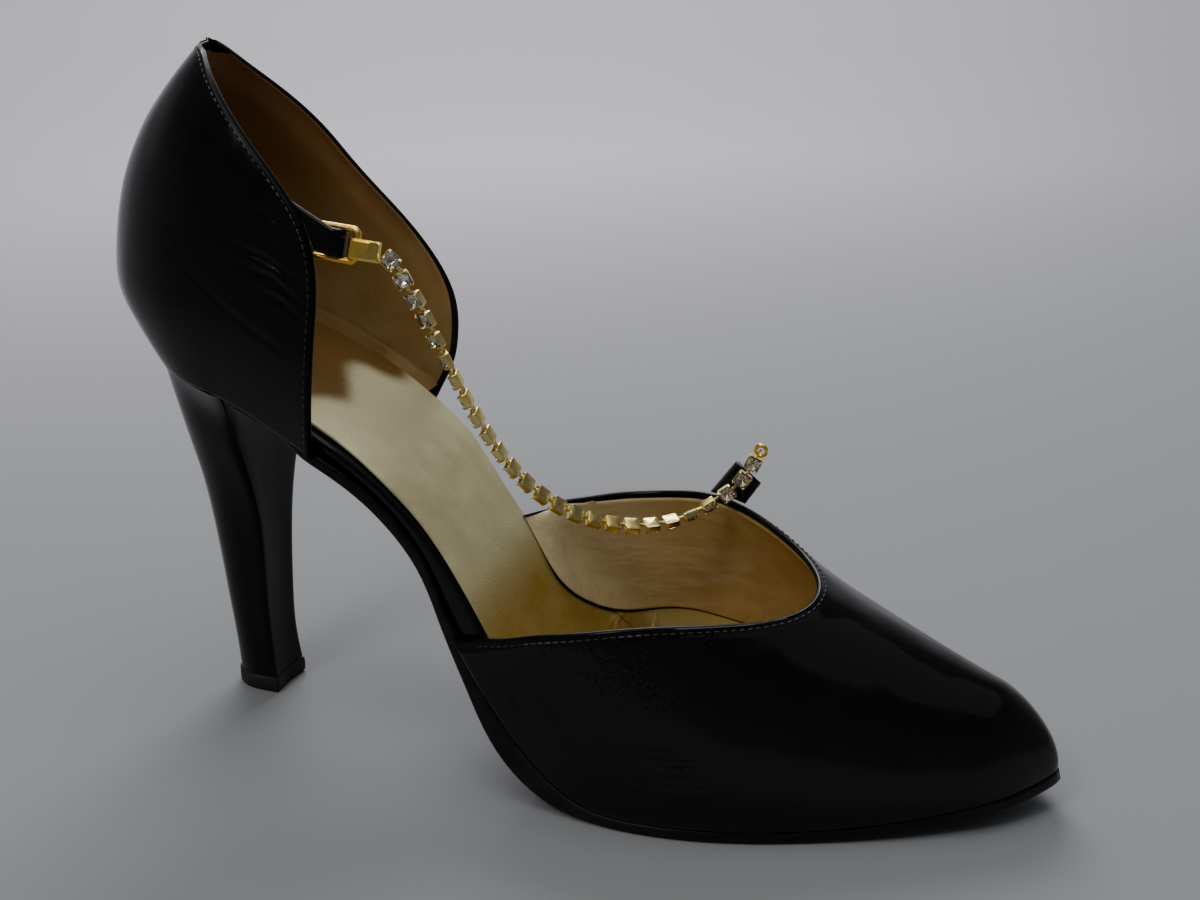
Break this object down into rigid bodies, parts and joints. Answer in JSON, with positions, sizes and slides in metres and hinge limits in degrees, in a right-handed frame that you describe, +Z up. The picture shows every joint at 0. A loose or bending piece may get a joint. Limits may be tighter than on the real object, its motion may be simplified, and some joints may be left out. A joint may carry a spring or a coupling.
{
  "type": "pump shoe",
  "caption": "High-heeled two-piece evening pump, open at the waist, with a slim covered heel and a stone-set chain strap on a small buckle.",
  "frame": {"origin": "middle of the shoe's box in plan, on the floor it stands on", "axes": "+X from heel to toe, +Y to the inner side of the foot, +Z up"},
  "size_m": [0.208, 0.071, 0.1488],
  "materials": {
    "patent_leather": "black patent, high gloss",
    "sole_leather": "black, satin",
    "gold_leather": "pale gold, metallic",
    "heel_rubber": "black, matt, worn edge",
    "gold_metal": "gold plated, polished",
    "stone_chain": "gold plated cups with clear cut stones"
  },
  "bodies": {
    "root": {"outsole": "sole_leather", "insole": "patent_leather", "sock": "gold_leather", "vamp": "patent_leather", "quarter": "patent_leather", "heel": "patent_leather", "top_piece": "heel_rubber", "buckle": "gold_metal", "buckle_tab": "patent_leather", "chain_clasp": "gold_metal", "rhinestone_chain": "stone_chain", "vamp_tab": "patent_leather", "end_ring": "gold_metal"}
  },
  "joints": []
}
